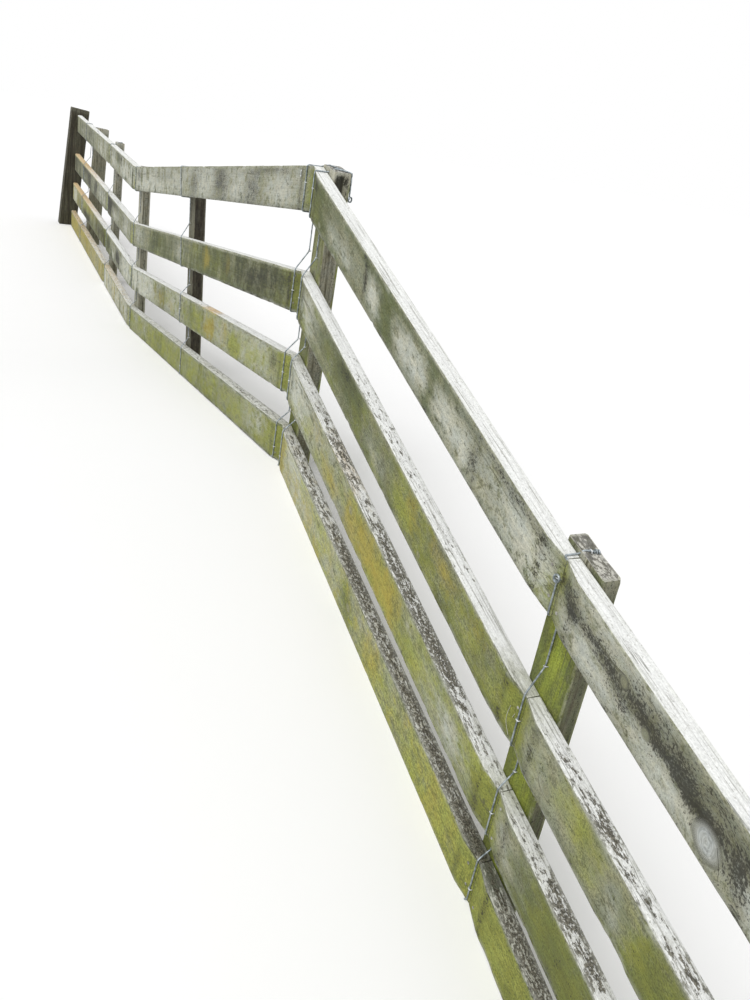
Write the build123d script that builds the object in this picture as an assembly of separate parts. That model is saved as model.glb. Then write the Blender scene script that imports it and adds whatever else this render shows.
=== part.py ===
from build123d import *
import math
import os

# A four-rail post-and-rail fence of rough sawn timber that follows uneven ground.
# Lengths are in millimetres. +Z is up, +X runs along the fence towards its near end,
# and the rails are on the -Y side of the posts. The origin is the middle of the flat
# foot of the crest post, where the fence tips over from the steep bank to the gentle
# ground beyond it.

# Rails: rough sawn boards on edge, their long edges slightly worn away
RAIL_HEIGHT = 150.0
RAIL_THICKNESS = 50.0
RAIL_EDGE = 2.5
RAIL_NAMES = ("top", "upper", "lower", "bottom")
# Rail ends are planed back on the show face, so two rails meet in a shallow V
BEVEL_LENGTH = 62.0
BEVEL_DEPTH = 13.0
BUTT_GAP = 1.5

# Posts: split timber with worn edges, just clear of the rails' backs
POST_EDGE = 5.0
SEAT_GAP = 0.4

# Lashings: galvanised fencing wire
WIRE_RADIUS = 2.0
WIRE_SIDES = 10
WIRE_CLEAR = 2.6
TOP_STAPLE_BACK = 38.0
# Between two rails the wire lies on the post over this part of the gap
WIRE_BACK_FROM = 0.14
WIRE_BACK_TO = 0.65
# Places of the wires along the fence, from their station; the middle one slants too
BANK_WIRE_SHIFT = -10.0
CREST_WIRE_SHIFT = 38.0
ENTRY_WIRE_SHIFT = -36.0
MID_WIRES = {
    "middle": dict(shift=28.0, lean=-8.0),
    "second_far": dict(shift=0.0, lean=0.0),
}
# The crest's wires run on over the post and down its back
CREST_WIRE_OVER = 8.0
CREST_WIRE_HANG = 85.0

# Where the rails' show face passes each post: x, y, and the height of the top rail's
# upper edge. A rail's drop is from there down to its own upper edge. The lean is
# that of the rails' plane, away from plumb, in degrees.
STATIONS = {
    "entry": dict(x=3252.0, y=-66.0, top=31.0, drops=(0, 360, 663, 927), lean=0.0),
    "bank": dict(x=1638.0, y=-24.5, top=476.0, drops=(0, 373, 662, 904), lean=0.0),
    "crest": dict(x=0.0, y=-85.0, top=1100.0, drops=(0, 354, 660, 938), lean=0.0),
    "dip": dict(x=-3230.0, y=-85.0, top=753.0, drops=(0, 359, 651, 932), lean=0.0),
    "far": dict(x=-4480.0, y=-69.0, top=793.0, drops=(0, 363, 652, 932), lean=1.2),
    "end": dict(x=-6900.0, y=-40.0, top=868.0, drops=(0, 366, 652, 930), lean=2.9),
}
# The lean turns about the middle of the fence's height
LEAN_CENTRE_DROP = 540.0

# Rail runs between stations, from the near end of the fence to its far end
RUNS = (
    ("entry", "entry", "bank"),
    ("bank", "bank", "crest"),
    ("middle", "crest", "dip"),
    ("far", "dip", "far"),
    ("end", "far", "end"),
)

# Posts at the stations: width along the fence, depth across it, height above the top
# rail's edge, shift along the fence, slope of the sawn top, and leans in degrees
POSTS = {
    "entry": dict(width=130.0, depth=60.0, proud=16.0, shift=-52.0, top_slope=-0.28),
    "bank": dict(width=143.0, depth=55.0, proud=6.0, shift=14.0, top_slope=-0.30),
    "crest": dict(width=110.0, depth=67.0, proud=2.0, shift=22.0, top_slope=-0.10, lean_along=1.2),
    "dip": dict(width=150.0, depth=52.0, proud=4.0, shift=-20.0, top_slope=0.0),
    "far": dict(width=130.0, depth=55.0, proud=18.0, shift=-35.0, top_slope=0.0, lean_back=1.3),
}
# The far end post is a stout strainer; the rails butt against its near side
STRAINER = dict(width=150.0, depth=172.0, proud=70.0, front=-80.0, lean_back=5.6)

# Posts that stand part way along a rail: the run and the share of the way along it
MID_POSTS = {
    "middle": dict(
        run=("crest", "dip"), share=0.555, width=122.0, depth=62.0, proud=-4.0,
        lean_along=-5.6, lean_back=-0.9,
    ),
    "second_far": dict(
        run=("far", "end"), share=0.65, width=126.0, depth=120.0, proud=-20.0,
        lean_back=3.4,
    ),
}


def lerp(a, b, share):
    return a + (b - a) * share


def rail_top(station, index):
    return station["top"] - station["drops"][index]


def foot_height(station):
    """Ground level at a station: the bottom rail's lower edge."""
    return rail_top(station, 3) - RAIL_HEIGHT


def face_y(station, z):
    """Where the rails' show face is at a height, with the lean of their plane."""
    rise = z - (station["top"] - LEAN_CENTRE_DROP)
    return station["y"] + rise * math.tan(math.radians(station["lean"]))


def rail_face_y(station, index):
    return face_y(station, rail_top(station, index) - RAIL_HEIGHT / 2)


def station_between(first, second, share):
    """A station part way along the straight run between two others."""
    a, b = STATIONS[first], STATIONS[second]
    mixed = {key: lerp(a[key], b[key], share) for key in ("x", "y", "top", "lean")}
    mixed["drops"] = tuple(lerp(p, q, share) for p, q in zip(a["drops"], b["drops"]))
    return mixed


def heading_between(far, near):
    """Plan direction from one station to the next nearer one, in degrees."""
    return math.degrees(math.atan2(near["y"] - far["y"], near["x"] - far["x"]))


def run_headings(name):
    """Directions of the runs on the near and the far side of a station."""
    found = {"near": None, "far": None}
    for _, near, far in RUNS:
        direction = heading_between(STATIONS[far], STATIONS[near])
        if name == far:
            found["near"] = direction
        if name == near:
            found["far"] = direction
    near_side = found["near"] if found["near"] is not None else found["far"]
    far_side = found["far"] if found["far"] is not None else found["near"]
    return near_side, far_side


def rail(far, near, index):
    """One board from its far station to its near one, with plumb, bevelled ends."""
    y_far, y_near = rail_face_y(far, index), rail_face_y(near, index)
    length = math.hypot(near["x"] - far["x"], y_near - y_far)
    heading = math.degrees(math.atan2(y_near - y_far, near["x"] - far["x"]))
    rise = rail_top(near, index) - rail_top(far, index)
    slope = rise / length
    # the end face stands plumb in the local YZ plane
    end_plane = Plane(origin=(BUTT_GAP, 0, BUTT_GAP * slope), x_dir=(0, 1, 0), z_dir=(1, 0, 0))
    section = chamfer(Rectangle(RAIL_THICKNESS, RAIL_HEIGHT).vertices(), RAIL_EDGE)
    section = end_plane * Pos(RAIL_THICKNESS / 2, -RAIL_HEIGHT / 2) * section
    clear_length = length - 2 * BUTT_GAP
    reach = clear_length * math.hypot(1, slope)
    board = extrude(section, amount=reach, dir=(1, 0, slope))
    tall = RAIL_HEIGHT + abs(rise)
    for end, toward in ((BUTT_GAP, 1), (BUTT_GAP + clear_length, -1)):
        wedge = Polyline(
            (end - toward, -1),
            (end + toward * BEVEL_LENGTH, -1),
            (end + toward * BEVEL_LENGTH, 0),
            (end, BEVEL_DEPTH),
            (end - toward, BEVEL_DEPTH),
            close=True,
        )
        board -= extrude(make_face(wedge), amount=tall, both=True)
    return Pos(far["x"], y_far, rail_top(far, index)) * Rot(0, 0, heading) * board


def timber_post(width, depth, height, top_slope, lean_along, lean_back):
    """A split post on a level foot at its own origin; its front face is at y = 0."""
    below = 60.0
    left = height - top_slope * width / 2
    right = height + top_slope * width / 2
    outline = Polyline(
        (-width / 2, -below),
        (width / 2, -below),
        (width / 2, right),
        (-width / 2, left),
        close=True,
    )
    front = Plane(origin=(0, 0, 0), x_dir=(1, 0, 0), z_dir=(0, -1, 0))
    timber = extrude(front * make_face(outline), amount=-depth)
    uprights = timber.edges().filter_by(Axis.Z)
    timber = chamfer(uprights, POST_EDGE)
    timber = Rot(-lean_back, lean_along, 0) * timber
    ground = Box(4 * width, 4 * depth, height, align=(Align.CENTER, Align.CENTER, Align.MAX))
    return timber - ground


def post(station, headings, width, depth, proud, shift=0.0, top_slope=0.0,
         lean_along=0.0, lean_back=0.0):
    """A post behind the rails, square to the run on its far side."""
    foot = foot_height(station)
    height = station["top"] + proud - foot
    near_side, far_side = headings
    turn = near_side - far_side
    # rails that swing towards the post on its near side push it back
    setback = RAIL_THICKNESS + SEAT_GAP
    setback += max(0.0, math.tan(math.radians(turn))) * (width / 2 + shift)
    setback += face_y(station, foot) - station["y"]
    # a leaning front must clear the plumb boards, and rails that lean less than it does
    setback += math.tan(math.radians(abs(lean_back))) * RAIL_HEIGHT / 2
    extra = math.radians(lean_back - station["lean"])
    setback += max(0.0, -math.tan(extra)) * height
    timber = timber_post(width, depth, height, top_slope, lean_along, lean_back)
    timber = Pos(shift - math.tan(math.radians(lean_along)) * height / 2, setback, 0) * timber
    return Pos(station["x"], station["y"], foot) * Rot(0, 0, far_side) * timber


def strainer(station, heading, width, depth, proud, front, lean_back):
    """The stout post at the far end, astride the line of the rails."""
    foot = foot_height(station)
    height = station["top"] + proud - foot
    timber = timber_post(width, depth, height, 0.0, 0.0, lean_back)
    middle = (height / 2) * math.tan(math.radians(lean_back))
    timber = Pos(-width / 2, front - middle, 0) * timber
    return Pos(station["x"], station["y"], foot) * Rot(0, 0, heading) * timber


def wire(points):
    """A round wire through points."""
    route = Polyline(*points)
    start = Plane(origin=route @ 0, z_dir=route % 0)
    section = RegularPolygon(WIRE_RADIUS, WIRE_SIDES)
    return sweep(start * section, path=route, transition=Transition.RIGHT)


def tie(station, headings, crest_height, shift=0.0, grade=0.0, bevelled=True, over=None,
        lean=0.0):
    """Wire over the post and the rails' show faces, drawn back between the rails."""
    centre_height = station["top"] - LEAN_CENTRE_DROP

    def place(y, z):
        return shift + (z - centre_height) * math.tan(math.radians(lean)), y, z

    notch = 0.0
    if bevelled:
        notch = BEVEL_DEPTH * (1 - (abs(shift) + WIRE_RADIUS) / BEVEL_LENGTH)
    tops = [rail_top(station, index) for index in range(4)]
    tops = [top + grade * place(0, top)[0] for top in tops]
    faces = [rail_face_y(station, index) - station["y"] for index in range(4)]
    crossing = max(crest_height, tops[0] + 1) + WIRE_CLEAR
    if over is None:
        points = [(faces[0] + RAIL_THICKNESS + TOP_STAPLE_BACK, crossing)]
    else:
        depth, hang = over
        back = faces[0] + RAIL_THICKNESS + depth + WIRE_CLEAR
        points = [(back, crossing - hang), (back, crossing)]
    points.append((faces[0] + RAIL_THICKNESS - 2, crossing + 0.5))
    for index in range(4):
        top, low = tops[index], tops[index] - RAIL_HEIGHT
        face = faces[index] + notch - WIRE_CLEAR
        points.append((face, top + WIRE_CLEAR))
        if index == 3:
            points.append((face, low + 8))
            continue
        points.append((face, low - WIRE_CLEAR))
        gap = low - tops[index + 1]
        back = min(faces[index], faces[index + 1]) + RAIL_THICKNESS - WIRE_CLEAR
        points.append((back, low - WIRE_BACK_FROM * gap))
        points.append((back + 0.3, low - WIRE_BACK_TO * gap))
    middle = sum(headings) / 2
    route = [place(y, z) for y, z in points]
    return Pos(station["x"], station["y"], 0) * Rot(0, 0, middle) * wire(route)


def post_top(name, shift=0.0):
    """Height of a post's sloping top where a wire crosses it."""
    size = POSTS[name]
    station = STATIONS[name]
    middle = station["top"] + size["proud"]
    lean = math.tan(math.radians(size.get("lean_along", 0.0)))
    centre = size.get("shift", 0.0) + lean * (middle - foot_height(station)) / 2
    return middle + (size["top_slope"] - lean) * (shift - centre)


def grade_between(near, far):
    """Rise of the rails for each millimetre towards the near end."""
    a, b = STATIONS[near], STATIONS[far]
    return (a["top"] - b["top"]) / (a["x"] - b["x"])


def centre_of_foot(shape):
    return shape.faces().sort_by(Axis.Z)[0].center()


parts = {}
for run_name, near, far in RUNS:
    for index, rail_name in enumerate(RAIL_NAMES):
        parts[f"{run_name}_rail_{rail_name}"] = rail(STATIONS[far], STATIONS[near], index)

for name, size in POSTS.items():
    parts[f"{name}_post"] = post(STATIONS[name], run_headings(name), **size)

for name, size in MID_POSTS.items():
    near, far = size["run"]
    station = station_between(near, far, size["share"])
    heading = heading_between(STATIONS[far], STATIONS[near])
    shape_size = {key: value for key, value in size.items() if key not in ("run", "share")}
    parts[f"{name}_post"] = post(station, (heading, heading), **shape_size)
    crest_height = station["top"] + size["proud"]
    parts[f"{name}_tie"] = tie(
        station, (heading, heading), crest_height,
        grade=grade_between(near, far), bevelled=False, **MID_WIRES[name],
    )

end_heading = heading_between(STATIONS["end"], STATIONS["far"])
parts["end_post"] = strainer(STATIONS["end"], end_heading, **STRAINER)

for name in ("dip", "far"):
    parts[f"{name}_tie"] = tie(STATIONS[name], run_headings(name), post_top(name))

# the first rails end alone on their post, so the wire lies well inside their bevel
for name, shift, near, far in (
    ("entry", ENTRY_WIRE_SHIFT, "entry", "bank"),
    ("bank", BANK_WIRE_SHIFT, "bank", "crest"),
):
    parts[f"{name}_tie"] = tie(
        STATIONS[name], run_headings(name), post_top(name, shift),
        shift, grade_between(near, far),
    )

# the crest has a wire on each rail's end, taken over the post and down its back
over_back = (POSTS["crest"]["depth"] + CREST_WIRE_OVER, CREST_WIRE_HANG)
for side, shift, near, far in (
    ("near", CREST_WIRE_SHIFT, "bank", "crest"),
    ("far", -CREST_WIRE_SHIFT, "crest", "dip"),
):
    parts[f"crest_tie_{side}"] = tie(
        STATIONS["crest"], run_headings("crest"), post_top("crest", shift),
        shift, grade_between(near, far), over=over_back,
    )

os.makedirs("parts", exist_ok=True)
datum = centre_of_foot(parts["crest_post"])
for name, shape in parts.items():
    export_step(Pos(-datum.X, -datum.Y, -datum.Z) * shape, f"parts/{name}.step")
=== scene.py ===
import math
import random

import bpy
from mathutils import Matrix, Vector, noise
from mathutils.bvhtree import BVHTree


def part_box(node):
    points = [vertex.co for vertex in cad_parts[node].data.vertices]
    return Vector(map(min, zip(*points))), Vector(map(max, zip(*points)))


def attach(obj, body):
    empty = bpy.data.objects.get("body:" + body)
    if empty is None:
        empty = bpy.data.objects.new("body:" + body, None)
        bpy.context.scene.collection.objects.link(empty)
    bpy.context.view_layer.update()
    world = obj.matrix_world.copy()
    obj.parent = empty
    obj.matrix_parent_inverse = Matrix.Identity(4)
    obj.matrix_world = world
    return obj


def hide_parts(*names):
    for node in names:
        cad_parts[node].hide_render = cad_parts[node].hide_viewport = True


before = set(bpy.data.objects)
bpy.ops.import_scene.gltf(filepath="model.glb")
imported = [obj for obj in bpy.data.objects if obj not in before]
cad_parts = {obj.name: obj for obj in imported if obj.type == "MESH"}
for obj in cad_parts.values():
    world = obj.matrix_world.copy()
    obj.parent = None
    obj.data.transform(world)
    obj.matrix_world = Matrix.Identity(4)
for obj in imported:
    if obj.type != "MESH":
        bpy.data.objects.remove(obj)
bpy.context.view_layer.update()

# Camera: beside the entry run, looking down the bank and along the fence
CAMERA_PLACE = (2.8768, -1.1842, 1.2466)
CAMERA_HEADING = 151.5
CAMERA_PITCH = 23.63
CAMERA_ROLL = 10.01
CAMERA_LENS = 30.42

# Soft daylight: a wide sun that stands high, and a white sky
SUN_STRENGTH = 1.9
SUN_SOFTNESS = 50
SUN_TILT = (24, 14)
SKY_LEVEL = 0.52
# The floor goes on straight past the last posts, and looks white where it is seen
FLOOR_REACH = 40
FLOOR_RUN_ON = 1.5
FLOOR_SEEN = ((0.965, 0.965, 0.965), (0.975, 0.975, 0.975))
FLOOR_BOUNCE = (0.74, 0.74, 0.73)

# Rails, in metres: their size and the bevel at each end, as in the solids
RAIL_HEIGHT = 0.150
RAIL_THICKNESS = 0.050
BEVEL_LENGTH = 0.062
BEVEL_DEPTH = 0.013
RAIL_NAMES = ("top", "upper", "lower", "bottom")
RUN_NAMES = ("entry", "bank", "middle", "far", "end")
POST_NAMES = ("entry", "bank", "crest", "middle", "dip", "far", "second_far", "end")
DARK_POSTS = ("middle", "end")
DARK_SLOT_POSTS = ("middle", "second_far", "end")

# How far a skin reaches past its solid's ends, so that butted rails nearly touch
BUTT_REACH = 0.0011
# Distance between the rings of points that a skin is made of
RING_STEP = {"entry": 0.008, "bank": 0.008, "middle": 0.010, "far": 0.014, "end": 0.014}
POST_STEP = 0.008
# Points along the face, bottom, back and top of a ring, and steps round each arris
NEAR_RUNS = ("entry", "bank")
FINE_COUNTS = ((18, 6, 8, 6), 3)
COARSE_COUNTS = ((12, 4, 6, 4), 2)
# What counts as the upper or the lower edge, and how far wear reaches from an arris
EDGE_BAND = 0.004
WORN_WIDTH = 0.012
# An arris's usual and least radius, and how far the timber stands inside the flat solid
ARRIS_RADIUS = 0.0022
ARRIS_LEAST = 0.0012
SAWN_INSET = 0.0003
# How deep the dents in a cut end and in a post's top are
END_DENTS = 0.0006
POST_TOP_DENTS = 0.003
# How far in each ring of a cut end lies, from its rim to its middle
CAP_RINGS = (0.12, 0.3, 0.5, 0.7, 0.88)
CHIPS_PER_METRE = 2.5
KNOTS_PER_METRE = 1.6

# How weathered each rail's show face is at its far and its near end, from 0 to 1
WEATHER_KINDS = ("algae", "moss", "mildew", "lichen", "bleach", "ochre", "streak")
RAIL_WEATHER = {
    "entry_top": dict(algae=(0.1, 0.15), mildew=(0.2, 0.25), bleach=(0.35, 0.4)),
    "entry_upper": dict(algae=(0.15, 0.65), moss=(0.2, 0.7), mildew=(0.2, 0.2), bleach=(0.35, 0.2)),
    "entry_lower": dict(algae=(0.25, 1.3), moss=(0.4, 0.9), mildew=(0.22, 0.3), bleach=(0.35, 0.0)),
    "entry_bottom": dict(algae=(0.2, 1.3), moss=(1.2, 0.9), mildew=(0.2, 0.3)),
    "bank_top": dict(
        algae=(0.4, 0.1), moss=(0.1, 0.0), mildew=(0.2, 0.15), bleach=(0.15, 0.5), streak=(0.5, 0.1),
    ),
    "bank_upper": dict(
        algae=(0.25, 0.5), moss=(0.2, 0.5), mildew=(0.2, 0.18), bleach=(0.35, 0.05), streak=(0.4, 0.2),
    ),
    "bank_lower": dict(algae=(0.1, 0.3), moss=(0.35, 0.6), mildew=(0.1, 0.15), bleach=(0.5, 0.35)),
    "bank_bottom": dict(algae=(0.0, 0.3), moss=(0.3, 0.8), ochre=(0.25, 0.15), bleach=(0.7, 0.35)),
    "middle_top": dict(algae=(0.05, 0.1), mildew=(0.15, 0.25), bleach=(0.6, 0.5), streak=(0.8, 0.6)),
    "middle_upper": dict(
        algae=(0.2, 0.6), moss=(0.12, 0.25), mildew=(0.2, 0.35), bleach=(0.35, 0.1), streak=(0.8, 0.5),
    ),
    "middle_lower": dict(
        algae=(0.1, 0.15), moss=(0.1, 0.5), mildew=(0.15, 0.15), bleach=(0.7, 0.45), streak=(0.8, 0.5),
    ),
    "middle_bottom": dict(
        algae=(0.2, 0.2), moss=(0.5, 0.55), mildew=(0.2, 0.2), bleach=(0.5, 0.5), streak=(0.8, 0.5),
    ),
    "far_top": dict(algae=(0.1, 0.1), mildew=(0.2, 0.15), bleach=(0.45, 0.6)),
    "far_upper": dict(algae=(0.15, 0.1), mildew=(0.3, 0.2), bleach=(0.25, 0.45)),
    "far_lower": dict(algae=(0.4, 0.05), moss=(0.1, 0.0), mildew=(0.25, 0.1), bleach=(0.15, 0.8)),
    "far_bottom": dict(algae=(0.05, 0.15), mildew=(0.1, 0.1), bleach=(0.8, 0.6), ochre=(0.28, 0.15)),
    "end_top": dict(algae=(0.3, 0.1), mildew=(0.25, 0.15), bleach=(0.2, 0.5)),
    "end_upper": dict(algae=(0.4, 0.1), mildew=(0.35, 0.2), bleach=(0.1, 0.45)),
    "end_lower": dict(
        algae=(0.2, 0.6), moss=(0.2, 0.3), mildew=(0.1, 0.35), bleach=(0.7, 0.0), ochre=(0.35, 0.15),
    ),
    "end_bottom": dict(algae=(0.2, 0.1), mildew=(0.1, 0.1), bleach=(0.3, 0.5), ochre=(0.65, 0.5)),
}
# Growth runs down the faces of these runs in streaks
STREAKY_RUNS = ("far", "end")
# The same for each rail's upper edge, which dries in the sun and carries the lichen
TOP_WEATHER = {
    "entry_top": dict(lichen=(0.05, 0.08)),
    "entry_upper": dict(lichen=(0.25, 0.35), algae=(0.2, 0.2)),
    "entry_lower": dict(lichen=(0.35, 0.5), algae=(0.4, 0.4)),
    "entry_bottom": dict(lichen=(0.75, 0.75), algae=(0.8, 0.7)),
    "bank_top": dict(lichen=(0.02, 0.02)),
    "bank_upper": dict(lichen=(0.12, 0.15), algae=(0.0, 0.1)),
    "bank_lower": dict(lichen=(0.3, 0.35), algae=(0.4, 0.3), ochre=(0.05, 0.05)),
    "bank_bottom": dict(lichen=(0.45, 0.75), algae=(0.5, 0.7), ochre=(0.2, 0.1)),
    "middle_top": dict(lichen=(0.05, 0.05)),
    "middle_upper": dict(lichen=(0.12, 0.1)),
    "middle_lower": dict(lichen=(0.15, 0.2), algae=(0.2, 0.2)),
    "middle_bottom": dict(lichen=(0.3, 0.4), algae=(0.5, 0.6)),
    "far_lower": dict(lichen=(0.1, 0.05)),
    "far_bottom": dict(lichen=(0.3, 0.2), ochre=(0.5, 0.2), algae=(0.6, 0.4)),
    "end_top": dict(lichen=(0.15, 0.0)),
    "end_upper": dict(lichen=(0.2, 0.1), ochre=(1.0, 0.1)),
    "end_lower": dict(lichen=(0.15, 0.1), ochre=(1.1, 0.1), algae=(0.4, 0.1)),
    "end_bottom": dict(lichen=(0.4, 0.3), ochre=(0.7, 0.3), algae=(0.9, 0.4)),
}
# Algae grows best where water stays: at the butted ends
JOINT_ALGAE = 0.65
JOINT_REACH = 0.06
# A dark line follows the start of each bevel, and each face goes greener and darker towards its lower
# arris
BEVEL_MILDEW = 0.30
BEVEL_LINE = 0.070
LOWER_EDGE_DARKENING = 0.25

# Patches of their own on the show faces: distance from the rail's far end, distance down,
# half length and half height, in millimetres, and how much each adds, in hundredths
MARKS = {
    "entry_top": dict(
        algae=((550, 20, 300, 34, 28), (300, 130, 280, 30, -12)),
        bleach=(
            (200, 14, 220, 22, 34), (140, 110, 150, 40, 38), (430, 118, 90, 34, 42),
            (700, 100, 50, 45, 50), (1000, 110, 200, 30, 35),
        ),
        mildew=(
            (30, 48, 40, 18, 42), (90, 64, 40, 17, 42), (200, 58, 70, 18, 36), (370, 66, 140, 20, 62),
            (520, 73, 80, 24, 66), (500, 30, 300, 22, 22), (630, 85, 30, 45, 40), (950, 50, 300, 22, 45),
            (260, 92, 50, 22, 28),
        ),
    ),
    "entry_upper": dict(
        moss=((310, 60, 60, 70, 45), (600, 70, 120, 90, 45)),
        algae=((580, 90, 100, 80, 65),),
        bleach=((60, 80, 70, 60, 20), (420, 90, 40, 50, 20)),
    ),
    "entry_lower": dict(
        moss=((30, 80, 100, 90, -50), (360, 110, 120, 40, 30)),
        algae=((30, 80, 100, 90, -25), (320, 80, 160, 90, 60)),
        bleach=((60, 80, 70, 60, 20),),
    ),
    "bank_top": dict(
        algae=(
            (850, 12, 500, 26, 45), (110, 75, 70, 90, 35), (690, 75, 45, 110, 75), (995, 80, 25, 90, 45),
        ),
        bleach=(
            (240, 100, 60, 40, 40), (360, 95, 60, 45, 40), (585, 85, 50, 48, 65), (860, 85, 95, 48, 70),
            (1100, 90, 70, 48, 40), (1200, 100, 28, 42, 50), (1540, 90, 90, 60, 50),
        ),
        mildew=((515, 70, 14, 60, 60), (1260, 90, 14, 60, 35), (1400, 18, 190, 16, 40)),
    ),
    "bank_upper": dict(
        bleach=(
            (130, 75, 80, 80, 50), (760, 105, 70, 35, 40), (1520, 50, 50, 40, 35),
            (1420, 122, 90, 26, 40),
        ),
        algae=((420, 50, 180, 70, 40), (580, 70, 80, 80, 30)),
        mildew=((500, 35, 100, 25, 30),),
        moss=((1020, 90, 160, 70, 35),),
        ochre=((1000, 60, 60, 50, 45), (1230, 50, 65, 45, 70), (1400, 50, 50, 45, 50)),
    ),
    "bank_lower": dict(
        bleach=(
            (100, 75, 120, 80, 40), (1420, 80, 120, 70, 35), (1130, 50, 18, 50, 40),
            (1240, 80, 100, 70, 20),
        ),
        moss=((80, 75, 120, 80, -35), (1420, 80, 120, 80, -25), (950, 90, 240, 80, 35)),
        ochre=(
            (480, 100, 70, 45, 55), (680, 80, 130, 80, 55), (360, 60, 60, 60, 30),
            (900, 80, 200, 90, 75),
        ),
        algae=((1350, 20, 200, 20, 30), (1580, 100, 50, 80, 25)),
    ),
    "bank_bottom": dict(
        bleach=((250, 70, 90, 70, 35),),
        algae=((740, 80, 70, 80, 60),),
        ochre=((330, 60, 100, 60, 30), (920, 90, 100, 50, 35)),
    ),
    "middle_top": dict(
        mildew=(
            (180, 45, 110, 28, 25), (900, 50, 220, 28, 20), (1370, 20, 30, 20, 35),
            (1620, 80, 100, 90, 30), (2120, 70, 120, 90, 40), (2620, 85, 100, 70, 30),
            (2800, 18, 280, 14, 30),
        ),
        bleach=(
            (600, 110, 360, 35, 35), (1850, 90, 120, 60, 25), (2360, 100, 100, 50, 25),
            (2950, 95, 140, 50, 30),
        ),
    ),
    "middle_upper": dict(
        bleach=((250, 80, 180, 70, 30), (1420, 80, 120, 70, 45), (2470, 122, 25, 18, 60)),
        algae=((850, 70, 320, 80, 60), (1950, 70, 340, 80, 45)),
        mildew=((800, 60, 200, 50, 20), (2780, 80, 320, 65, 30)),
        moss=((2050, 80, 300, 80, 15),),
        ochre=((1980, 65, 75, 50, 85), (2360, 60, 40, 50, 30)),
    ),
    "middle_lower": dict(
        bleach=((350, 80, 360, 80, 45), (2860, 70, 200, 70, 35)),
        algae=((1000, 70, 260, 90, 55), (1800, 80, 300, 90, 55)),
        ochre=(
            (950, 90, 140, 60, 55), (1280, 100, 90, 45, 40), (2130, 85, 100, 55, 75),
            (2400, 60, 60, 60, 60),
        ),
        moss=((1850, 80, 350, 80, 30), (2560, 90, 70, 60, 50)),
        mildew=((3080, 60, 30, 30, 50),),
    ),
    "middle_bottom": dict(
        algae=((1000, 80, 200, 90, 35), (2200, 80, 600, 90, 30)),
        moss=((1200, 80, 700, 90, 25),),
        bleach=((2950, 50, 140, 60, 30),),
    ),
    "far_top": dict(
        bleach=((200, 90, 140, 45, 35), (820, 85, 140, 60, 35), (1120, 80, 100, 70, 30)),
        algae=((480, 50, 120, 50, 55),),
        mildew=((550, 40, 120, 40, 30),),
    ),
    "far_upper": dict(
        mildew=((120, 60, 160, 70, 60), (400, 30, 220, 20, 30)),
        bleach=((440, 105, 110, 36, 45), (950, 90, 140, 50, 25)),
    ),
    "far_lower": dict(
        algae=((140, 70, 140, 70, 50),),
        mildew=((180, 70, 100, 60, 30), (670, 80, 110, 55, 75)),
        bleach=((420, 105, 70, 36, 45), (1100, 80, 140, 80, 35)),
    ),
    "far_bottom": dict(bleach=((120, 80, 200, 80, 45),), ochre=((450, 60, 250, 60, 15),)),
    "end_top": dict(
        bleach=((600, 105, 260, 36, 30), (1920, 90, 220, 50, 35)),
        mildew=((1150, 50, 140, 50, 30),),
    ),
    "end_upper": dict(
        mildew=(
            (150, 80, 180, 70, 20), (1000, 30, 360, 28, 40), (1250, 90, 160, 60, 40),
            (1720, 70, 80, 70, 45),
        ),
        bleach=((880, 112, 90, 28, 50), (2100, 85, 180, 48, 35)),
    ),
    "end_lower": dict(
        bleach=((200, 80, 240, 90, 70),),
        algae=((620, 85, 180, 60, 35),),
        moss=((1200, 60, 280, 60, 40),),
        mildew=((1200, 115, 320, 36, 60), (2100, 80, 240, 60, 30)),
        ochre=((1520, 28, 280, 28, 40),),
    ),
    "end_bottom": dict(
        ochre=((420, 60, 260, 60, 30), (1050, 30, 280, 30, 45)),
        moss=((450, 80, 250, 60, 35),),
    ),
}
# Patches on the upper edges: distance from the far end, half length, amount
TOP_MARKS = {
    "entry_upper": dict(lichen=((300, 140, 25), (600, 80, 20))),
    "entry_lower": dict(lichen=((300, 120, 25),)),
    "bank_top": dict(lichen=((800, 250, 8),)),
    "bank_upper": dict(lichen=((750, 350, 24), (1220, 100, 15)), algae=((1580, 70, 35),)),
    "bank_lower": dict(ochre=((550, 160, 35),), lichen=((500, 160, 30), (950, 180, 30), (1250, 160, 45))),
    "bank_bottom": dict(lichen=((700, 120, 25),), mildew=((1620, 100, 75),)),
    "entry_bottom": dict(mildew=((30, 100, 75),), lichen=((50, 80, -30),)),
    "middle_lower": dict(ochre=((2100, 160, 80),), lichen=((1950, 200, 15),)),
    "end_upper": dict(ochre=((700, 350, 30),)),
    "end_lower": dict(ochre=((600, 450, 20),)),
}

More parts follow.
